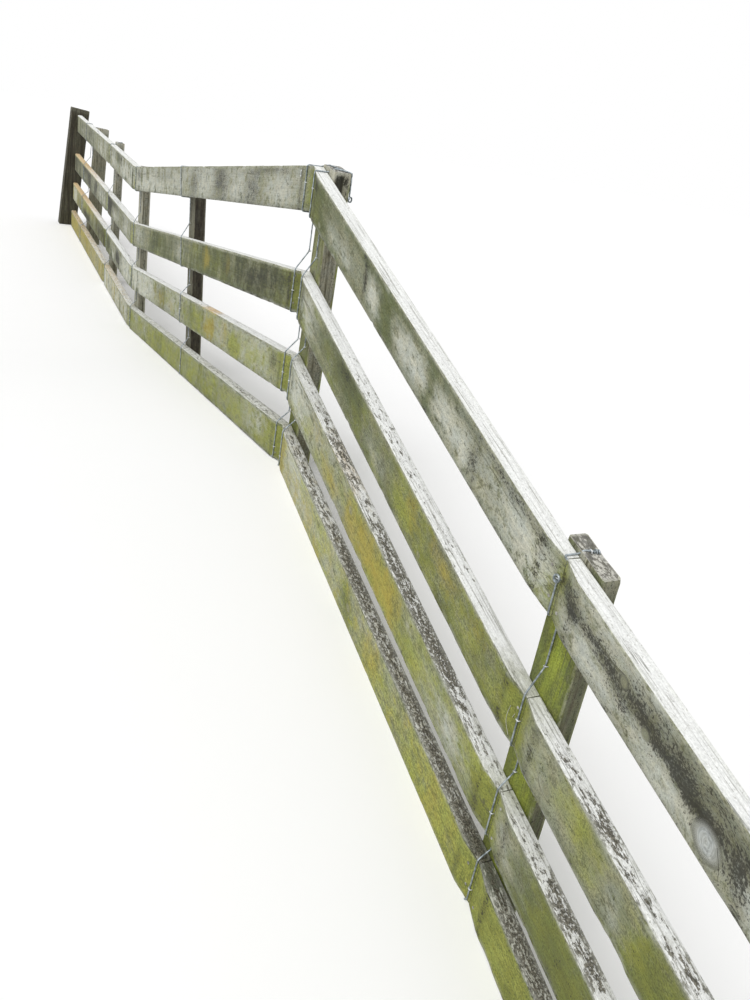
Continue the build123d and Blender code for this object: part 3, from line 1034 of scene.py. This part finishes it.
def sawn_face(n, p, colours, growth_share, fibrous):
    """The show faces: a mottled base, then washes of growth over it."""
    patches = n.both(n.both(p.mottle, 0.70, p.broad, 0.30), 0.75, p.fine, 0.25)
    tone = n.between(0.08 + fibrous, patches, p.strands)
    color = n.mix(n.band(tone, 0.38, 0.62), colours["deep"], colours["pale"])
    wet = n.mix(fibrous, n.mix(p.streak, p.patchy, p.runny), p.lengths)
    spread = n.plus(n.times(p.streak, 1.6), 3.2)
    color = n.mix(n.cover(p.bleach, wet, spread, 0.34), color, colours["bleached"])
    damp = n.times(n.cover(p.algae, wet, spread, 0.34), 0.85 * growth_share)
    color = n.mix(damp, color, ALGAE)
    moss_tone = n.mix(fibrous, tone, p.tuft)
    moss_colour = n.mix(n.band(moss_tone, 0.34, 0.66), MOSS_DEEP, colours["moss"])
    moss_colour = n.mix(n.band(p.algae, 0.45, 1.1, 0.0, 0.75), moss_colour, MOSS_DEEP)
    cushions = n.cover(p.moss, n.both(p.broad, 0.5, p.patchy, 0.5), 2.8, 0.42)
    color = n.mix(n.times(cushions, 0.88 * growth_share), color, moss_colour)
    rusty = n.times(n.cover(p.ochre, p.runny, 2.8, 0.42), 0.85)
    return n.mix(rusty, color, n.mix(n.band(p.patchy, 0.38, 0.62), OCHRE_DEEP, OCHRE))


def mildewed(n, p, color, fibrous):
    """Mildew over a face: black dots at first, and soot where it is thick or runs down."""
    sooty = n.mix(fibrous, n.mix(n.times(p.streak, 0.7), p.patchy, p.runny), p.strands)
    dark = n.cover(p.mildew, n.both(sooty, 0.7, p.fine, 0.3), 3.9, 0.40)
    dots = n.band(n.both(dark, 0.55, p.fine, 1.2), 0.62, 1.19)
    dotted = n.times(dots, n.band(dark, 0.0, 0.3))
    dark = n.between(n.band(p.streak, 0.2, 1.0, 0.0, 0.7), dotted, dark)
    return n.mix(n.times(dark, 0.95), color, MILDEW)


def knotted(n, p, color, colours):
    """Knots with rings in them, and a dark rim under the large ones."""
    ragged = n.plus(p.knot, n.times(n.math("SUBTRACT", p.tint, 0.5), 1.8))
    heart = n.mix(p.large, colours["deep"], HEART_DEEP)
    heart = n.mix(p.knot_rings, heart, n.mix(p.large, colours["pale"], HEART_PALE))
    core = n.times(n.band(ragged, 1.25, 0.75), n.band(p.large, 0.0, 1.0, 0.7, 0.8))
    color = n.mix(core, color, heart)
    rim = n.times(n.band(n.off(ragged, 1.15), 0.16, 0.02), n.band(p.knot_z, -0.006, 0.016))
    return n.mix(n.times(n.times(rim, p.large), 0.6), color, MILDEW)


def speckled(n, p, color):
    """Warm and cool tints, and fine specks, which fade where the wood is bleached."""
    warmth = n.mix(n.band(p.tint, 0.36, 0.64), WARM_TINT, COOL_TINT)
    color = n.mix(1.0, color, warmth, "MULTIPLY")
    specks = n.dim(color, n.band(p.fine, 0.32, 0.68, 0.78, 1.22))
    return n.mix(n.band(p.bleach, 0.1, 0.9, 0.0, 0.6), specks, color)


def upper_edge(n, p, colours):
    """The upper edges: dry and pale, with crusts of lichen."""
    color = n.mix(n.band(p.strand, 0.30, 0.44), colours["top_deep"], colours["top_pale"])
    color = n.mix(n.times(n.band(p.grit, 0.60, 0.68), 0.35), color, LICHEN_GREY)
    color = n.mix(n.times(n.cover(p.algae, p.patchy, 2.0, 0.4), 0.55), color, TOP_ALGAE)
    color = n.mix(n.times(n.cover(p.ochre, p.patchy, 1.6, 0.4), 0.85), color, TAN)
    color = n.mix(n.times(n.cover(p.mildew, p.crust, 2.3, 0.12), 0.85), color, TOP_DAMP)
    crusts = n.times(n.cover(p.lichen, p.crust, 2.3, 0.05), n.band(p.grit, 0.62, 0.56, 0.15, 0.95))
    return n.mix(crusts, color, n.mix(n.band(p.fine, 0.42, 0.66), LICHEN_DARK, LICHEN_GREY))


def cut_end(n, p, colours):
    """The sawn ends and the posts' tops, checked and partly black, with painted shade in the checks."""
    color = n.mix(n.band(p.crust, 0.46, 0.54), colours["end"], colours["top_pale"])
    color = n.mix(n.times(p.char, 0.75), color, colours["top_deep"])
    # Painted shade: the checks take the dark colour under
    return n.mix(n.times(p.checks, 0.9), color, colours["under"])


def timber(name, colours, growth_share=1.0, fibrous=0.0):
    """Weathered timber, driven by the grain and weather layers of the skins."""
    n = Nodes(name)
    p = Patterns(n)
    front = sawn_face(n, p, colours, growth_share, fibrous)
    front = speckled(n, p, knotted(n, p, mildewed(n, p, front, fibrous), colours))
    up = n.split(n.add("ShaderNodeNewGeometry").outputs["Normal"])[2]
    color = n.mix(n.band(up, 0.45, 0.8), front, upper_edge(n, p, colours))
    # Painted shade: faces that look down are mixed towards the dark colour under
    color = n.mix(n.times(n.band(up, -0.5, -0.8), 0.8), color, colours["under"])
    color = n.mix(n.times(p.cut, 0.9), color, cut_end(n, p, colours))
    worn = n.times(p.edge, n.band(p.crust, 0.42, 0.56))
    color = n.mix(n.times(worn, 0.4), color, colours["bleached"])
    shade = n.times(n.band(p.strand, 0.3, 0.7, 0.90, 1.08), n.band(p.fine, 0.3, 0.7, 0.86, 1.10))
    # Painted shade: the splits take the dark colour under
    color = n.mix(n.times(p.splits, 0.7), n.dim(color, shade), colours["under"])

    height = n.plus(n.both(p.fibre, 0.25, p.strand, 0.5), n.both(p.fine, 0.7, p.mottle, 0.9))
    height = n.plus(height, n.times(p.splits, -1.5))
    return n.finish(color, n.band(p.strand, 0.2, 0.8, 0.95, 0.78), height, 0.6, 0.0016)


def mottled(name, bright, dull, rust_share=0.0, metallic=0.6):
    """The mottled skin of a small piece, with some rust or stain in patches."""
    n = Nodes(name)
    place_on = n.add("ShaderNodeTexCoord").outputs["Object"]
    cloud = n.noise(place_on, 90.0, 4.0, 0.6)
    fine = n.noise(place_on, 700.0, 2.0)
    color = n.mix(n.band(cloud, 0.35, 0.65), dull, bright)
    rust = n.band(n.noise(place_on, 40.0, 4.0, 0.7), 0.66 - rust_share, 0.74 - rust_share)
    color = n.mix(n.times(rust, 0.8), color, RUST)
    return n.finish(color, n.band(cloud, 0.3, 0.7, 0.62, 0.42), fine, 0.3, 0.0003, metallic)


class Tubes(Surface):
    """Bent wires, staples and nails, joined into one mesh."""

    sharp = 50

    def ring(self, centre, side, other, radius, sides):
        """Adds a ring of points and gives their numbers."""
        first = len(self.points)
        for j in range(sides):
            turn = 2 * math.pi * j / sides
            self.points.append(centre + (side * math.cos(turn) + other * math.sin(turn)) * radius)
        return list(range(first, first + sides))

    def close(self, rings):
        """Joins rings to one another and closes both ends."""
        self.faces.append(tuple(reversed(rings[0])))
        for last, ring in zip(rings, rings[1:]):
            self.bridge(last, ring)
        self.faces.append(tuple(rings[-1]))

    def tube(self, path, radius, sides=8):
        """A round wire along a path, closed at both ends."""
        side = None
        rings = []
        for k, point in enumerate(path):
            ahead = (path[min(k + 1, len(path) - 1)] - path[max(k - 1, 0)]).normalized()
            if side is None:
                side = ahead.orthogonal()
            side = (side - ahead * side.dot(ahead)).normalized()
            rings.append(self.ring(point, side, ahead.cross(side), radius, sides))
        self.close(rings)

    def winding(self, first, last, reach, turns, steps, radius, sides):
        """A wire that winds round the line from first to last."""
        along = (last - first).normalized()
        side = along.orthogonal()
        other = along.cross(side)
        count = int(turns * steps)
        path = []
        for k in range(count + 1):
            turn = 2 * math.pi * turns * k / count
            rim = (side * math.cos(turn) + other * math.sin(turn)) * reach
            path.append(first.lerp(last, k / count) + rim)
        self.tube(path, radius, sides)

    def dome(self, at, outward, radius, height):
        """A nail's head, flat underneath and slightly round on top."""
        side = outward.orthogonal()
        other = outward.cross(side)
        self.close([
            self.ring(at + outward * height * lift, side, other, radius * reach, 8)
            for reach, lift in HEAD_PROFILE
        ])


def bend(points, radius, steps=5):
    """A route with its corners bent round, as wire bends."""
    path = [points[0]]
    for before, corner, after in zip(points, points[1:], points[2:]):
        reach_in = min(radius, (corner - before).length * 0.48)
        reach_out = min(radius, (after - corner).length * 0.48)
        start = corner + (before - corner).normalized() * reach_in
        stop = corner + (after - corner).normalized() * reach_out
        for k in range(steps + 1):
            t = k / steps
            path.append(start.lerp(corner, t).lerp(corner.lerp(stop, t), t))
    path.append(points[-1])
    return path


def add_staple(tubes, at, along, outward, turn=0.0):
    """A fencing staple over a wire at a point on the timber."""
    across = Matrix.Rotation(turn, 3, outward) @ along.cross(outward).normalized()
    corners = []
    for side, lift in STAPLE_SHAPE:
        corners.append(at + across * STAPLE_HALF * side + outward * lift)
    tubes.tube(bend(corners, 0.003, 3), STAPLE_RADIUS, 7)


def add_coil(tubes, at, outward, radius):
    """The wire's end, wound round itself on the timber."""
    outward = outward.normalized() * WIRE_RADIUS
    first, last = at + outward * 0.9, at + outward * 2.5
    tubes.winding(first, last, radius, 2.2, 14, WIRE_RADIUS * 0.9, 8)


def add_twist(tubes, first, last):
    """The wire's tail, wound round the wire from first to last."""
    tubes.winding(first, last, WIRE_RADIUS * 1.5, 2.5, 12, WIRE_RADIUS * 0.8, 7)


def top_of(name, x, y):
    """Height of a solid of the frame straight under a place, or None beside it."""
    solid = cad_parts[name]
    corners = [solid.matrix_world @ v.co for v in solid.data.vertices]
    sides = [tuple(side.vertices) for side in solid.data.polygons]
    point = BVHTree.FromPolygons(corners, sides).ray_cast(Vector((x, y, 5)), Vector((0, 0, -1)))[0]
    return point.z if point else None


def gap_bends(board, s, below, s_below):
    """The wire's bends in the gap under a rail, where it lies on the post."""
    low = board.at(s, 0, -RAIL_HEIGHT)
    next_top = below.at(s_below, 0, 0)
    points = []
    for part in GAP_BENDS:
        point = low.lerp(next_top, part) - board.back * 0.0015
        point.x = lerp(low.x, next_top.x, 0.4 * part)
        points.append(point)
    return points


def lash_route(places, run, staples):
    """A wire's route down the rails at a post, from the top rail's back edge."""
    rows = [boards[f"{run}_{row}"] for row in RAIL_NAMES]
    route = [rows[0].at(rows[0].s_inside(places[0][0]), 0.004, WIRE_CLEAR)]
    for index, board in enumerate(rows):
        s_above, s_below = (board.s_inside(x) for x in places[index])
        front = board.face(s_above) - WIRE_CLEAR
        route.append(board.at(s_above, front, WIRE_CLEAR * 0.7))
        share = FACE_STAPLES[index]
        pinned = board.at(lerp(s_above, s_below, share), front, -RAIL_HEIGHT * share)
        route.append(pinned)
        add_staple(staples, pinned + board.back * WIRE_CLEAR, DOWN, -board.back)
        if board is rows[-1]:
            route.append(board.at(s_below, front, -RAIL_HEIGHT * 0.95))
            route.append(board.at(s_below - 0.006, front - 0.004, -RAIL_HEIGHT * 0.97))
            break
        for depth in (front, WIRE_BACK):
            route.append(board.at(s_below, depth, -RAIL_HEIGHT - WIRE_CLEAR * 0.7))
        below = rows[index + 1]
        route += gap_bends(board, s_below, below, below.s_inside(places[index + 1][0]))
        add_staple(staples, route[-1] + board.back * 0.002, DOWN, -board.back, 0.3)
    return route


def joint_x(name):
    """Where the rails meet in front of a post, on the fence's X axis."""
    if name == "entry":
        return boards["entry_top"].at(boards["entry_top"].length, 0, 0).x
    return boards[NEAR_RAILS[name]].far.x


def wire_places(name):
    """Where a post's wire crosses each rail, above and below, on the fence's X axis."""
    if name == "middle":
        return MIDDLE_WIRE
    if name in JOINT_SHIFT:
        x = joint_x(name) + JOINT_SHIFT[name]
    else:
        low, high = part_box(name + "_tie")
        x = (low[0] + high[0]) / 2
    return ((x, x),) * len(RAIL_NAMES)


def over_post(name, start, back):
    """The wire's points on a post's top, from the post's back to the rail."""
    points = []
    for y in (back + 0.010, back - 0.012, start.y + 0.006):
        x = start.x + 0.25 * (y - start.y)
        level = top_of(name + "_post", x, y)
        if level is not None:
            points.append(Vector((x, y, level + POST_TOP_CLEAR)))
    return points


def add_lashings(wire, zinc):
    """The wires over the rail joints, with their staples."""
    for name, run in WIRE_RUNS.items():
        tubes, staples = Tubes(), Tubes()
        places = wire_places(name)
        route = lash_route(places, run, staples)
        over = over_post(name, route[0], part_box(name + "_tie")[1][1])
        if name == "bank":
            into_joint = route[1] + Vector((0.009, 0.008, -0.010))
            tubes.tube(bend(over + route[:2] + [into_joint], WIRE_BEND), WIRE_RADIUS)
            tubes.tube(bend(route[2:], WIRE_BEND), WIRE_RADIUS)
        else:
            tubes.tube(bend(over + route, WIRE_BEND), WIRE_RADIUS)
        if len(over) > 1:
            add_twist(tubes, over[0], over[0].lerp(over[1], 0.7))
            add_staple(staples, over[1] + DOWN * 0.002, Vector((0, 1, 0)), -DOWN)
        if name == "bank":
            board = boards["bank_top"]
            s = board.s_at(places[0][0])
            knot = board.on_face(s, RAIL_HEIGHT * FACE_STAPLES[0], 0.002)
            add_coil(tubes, knot, -board.back, 0.0062)
        tubes.build(name + "_wire", wire, name + "_tie", "tie_wire")
        staples.build(name + "_staples", zinc, None, "tie_wire")


def crest_lead(route, corner, sideways):
    """A crest wire's points on the post's top, from its back corner to the rail."""
    points = []
    for share in (0.75, 0.25):
        point = route[0].lerp(corner, share)
        point.x += sideways * (share - 0.2)
        level = top_of("crest_post", point.x, point.y)
        if level is not None:
            point.z = level + 0.0020
            points.append(point)
    return points


def add_crest_lashings(wire, zinc):
    """Two wires at the crest, drawn together over the post and tied down its back."""
    high = Vector(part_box("crest_post")[1])
    corner = high + Vector((-0.006, 0.001, 0))
    corner.z = (top_of("crest_post", corner.x - 0.006, corner.y - 0.006) or high.z) + 0.001
    eye = corner + Vector((-0.003, 0.003, -0.085))
    for side, run, shift, sideways in CREST_WIRES:
        tubes, staples = Tubes(), Tubes()
        x = joint_x("crest") + shift
        route = lash_route(((x, x),) * len(RAIL_NAMES), run, staples)
        apart = Vector((math.copysign(WIRE_RADIUS, shift), 0, 0))
        down = [eye + apart, corner.lerp(eye, 0.66) - apart, corner.lerp(eye, 0.33) + apart]
        path = down + [corner - apart] + crest_lead(route, corner, sideways) + route
        tubes.tube(bend(path, 0.007), WIRE_RADIUS)
        if side == "near":
            add_coil(tubes, eye, Vector((1, 0.6, 0)), 0.0065)
        tubes.build("crest_wire_" + side, wire, "crest_tie_" + side, "tie_wire")
        staples.build("crest_staples_" + side, zinc, None, "tie_wire")


def add_nails(material):
    """Small nail heads at the ends of the rails, not quite in line; some are hidden."""
    along, across = NAIL_SCATTER
    for board in boards.values():
        nails = Tubes()
        for end in (NAIL_INSET, board.length - NAIL_INSET):
            for row in NAIL_ROWS:
                s = end + random.uniform(-along, along)
                down = row - random.uniform(-across, across)
                if random.random() < NAILS_SHOWN:
                    nails.dome(board.on_face(s, down), -board.back, *NAIL_HEAD)
        if nails.points:
            nails.build(board.name + "_nails", material, None, "tie_wire")


def add_old_staple(zinc):
    """A staple left in the top rail beside the crest, with no wire under it."""
    board = boards["middle_top"]
    staples = Tubes()
    s = board.length - 0.078
    for ahead, down in ((0.0, 0.018), (0.002, 0.036)):
        at = board.at(s + ahead, board.face(s) - 0.001, -down)
        staples.dome(at, -board.back, 0.0022, 0.002)
    front = board.face(s) - 0.0012
    legs = [board.at(s, front + 0.004, -0.017), board.at(s, front, -0.018)]
    legs += [board.at(s + 0.001, front, -0.037), board.at(s + 0.001, front + 0.004, -0.038)]
    staples.tube(bend(legs, 0.002, 3), STAPLE_RADIUS, 7)
    staples.build("old_staple", zinc, None, "tie_wire")


def add_cracks(dark, pale):
    """Fine cracks in the show faces as thin dark tubes of painted shadow, and pale splinters that lift off
    them.
    """
    for k, (rail, lifted, places) in enumerate(CRACKS):
        board = boards[rail]
        path = [board.on_face(s, down, 0.0006 if lifted else -0.0009) for s, down in places]
        tubes = Tubes()
        tubes.tube(bend(path, 0.02, 4), CRACK_RADIUS, 6)
        tubes.build(f"{board.name}_crack_{k}", pale if lifted else dark, None, "rail_timber")


def add_camera():
    data = bpy.data.cameras.new("camera")
    data.sensor_width = 36.0
    data.lens = CAMERA_LENS
    camera = link("camera", data)
    turn = Matrix.Rotation(math.radians(CAMERA_HEADING - 90), 4, "Z")
    tip = Matrix.Rotation(math.radians(90 - CAMERA_PITCH), 4, "X")
    roll = Matrix.Rotation(math.radians(CAMERA_ROLL), 4, "Z")
    camera.matrix_world = Matrix.Translation(CAMERA_PLACE) @ turn @ tip @ roll
    bpy.context.scene.camera = camera


def add_sun():
    data = bpy.data.lights.new("sun", "SUN")
    data.energy = SUN_STRENGTH
    data.angle = math.radians(SUN_SOFTNESS)
    tilt_x, tilt_y = SUN_TILT
    link("sun", data).rotation_euler = (math.radians(tilt_x), math.radians(tilt_y), 0)


def floor_line():
    """The ground's height along the fence, from far beyond it to far before it."""
    feet = []
    for name in POST_NAMES:
        low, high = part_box(name + "_post")
        feet.append(((low[0] + high[0]) / 2, low[2]))
    feet.sort()
    (x_before, z_before), (x_last, z_last) = feet[-2:]
    z_end = z_last + FLOOR_RUN_ON * (z_last - z_before) / (x_last - x_before)
    start = (feet[0][0] - FLOOR_REACH, feet[0][1])
    return [start] + feet + [(x_last + FLOOR_RUN_ON, z_end), (x_last + FLOOR_REACH, z_end)]


def add_floor():
    """Plain ground that falls and rises with the posts' feet."""
    points, faces = [], []
    line = floor_line()
    for x, z in line:
        points += [(x, -FLOOR_REACH, z - 0.001), (x, FLOOR_REACH, z - 0.001)]
    for k in range(len(line) - 1):
        faces.append((2 * k, 2 * k + 2, 2 * k + 3, 2 * k + 1))
    mesh = bpy.data.meshes.new("floor")
    mesh.from_pydata(points, [], faces)
    mesh.shade_smooth()
    n = Nodes("plain_floor")
    seen = n.add("ShaderNodeLightPath").outputs["Is Camera Ray"]
    tone = n.noise(n.add("ShaderNodeTexCoord").outputs["Object"], 3.0, 2.0)
    color = n.mix(seen, FLOOR_BOUNCE, n.mix(tone, *FLOOR_SEEN))
    mesh.materials.append(n.finish(color, 0.9, tone, 0.02, 0.001))
    link("floor", mesh)


def add_world():
    world = bpy.data.worlds.new("world")
    world.use_nodes = True
    tree = world.node_tree
    background = tree.nodes["Background"]
    background.inputs["Color"].default_value = (1, 1, 1, 1)
    path = tree.nodes.new("ShaderNodeLightPath")
    level = tree.nodes.new("ShaderNodeMapRange")
    level.inputs["To Min"].default_value = SKY_LEVEL
    level.inputs["To Max"].default_value = 1.0
    seen = tree.nodes.new("ShaderNodeMath")
    seen.operation = "MAXIMUM"
    tree.links.new(path.outputs["Is Camera Ray"], seen.inputs[0])
    tree.links.new(path.outputs["Is Glossy Ray"], seen.inputs[1])
    tree.links.new(seen.outputs[0], level.inputs["Value"])
    tree.links.new(level.outputs["Result"], background.inputs["Strength"])
    bpy.context.scene.world = world


random.seed(7)
boards = {f"{run}_{row}": Board(run, row) for run in RUN_NAMES for row in RAIL_NAMES}
rail_timber = timber("rail_timber", RAIL_COLOURS)
post_timber = timber("post_timber", POST_COLOURS, 1.0, 0.6)
dark_timber = timber("dark_post_timber", DARK_COLOURS, 0.3, 0.6)
for rail in boards.values():
    make_rail(rail, rail_timber)
for post in POST_NAMES:
    wood = dark_timber if post in DARK_POSTS else post_timber
    make_post(post, wood, "dark_post_timber" if post in DARK_SLOT_POSTS else "post_timber")
tie_metal = mottled("tie_wire", (0.46, 0.51, 0.54), (0.19, 0.22, 0.23))
staple_metal = mottled("staple_zinc", (0.80, 0.82, 0.82), (0.48, 0.50, 0.51))
nail_metal = mottled("nail_steel", (0.50, 0.50, 0.47), (0.24, 0.23, 0.20), 0.10)
add_lashings(tie_metal, staple_metal)
add_crest_lashings(tie_metal, staple_metal)
add_nails(nail_metal)
add_old_staple(staple_metal)
# Painted shadow: the dark material of the crack tubes
crack_shadow_wood = mottled("crack_shadow", (0.045, 0.040, 0.028), (0.020, 0.018, 0.012), metallic=0.0)
splinter_wood = mottled("bare_splinter", (0.62, 0.62, 0.52), (0.42, 0.42, 0.33), metallic=0.0)
add_cracks(crack_shadow_wood, splinter_wood)

add_camera()
add_sun()
add_floor()
add_world()
bpy.context.scene.view_settings.view_transform = "Standard"
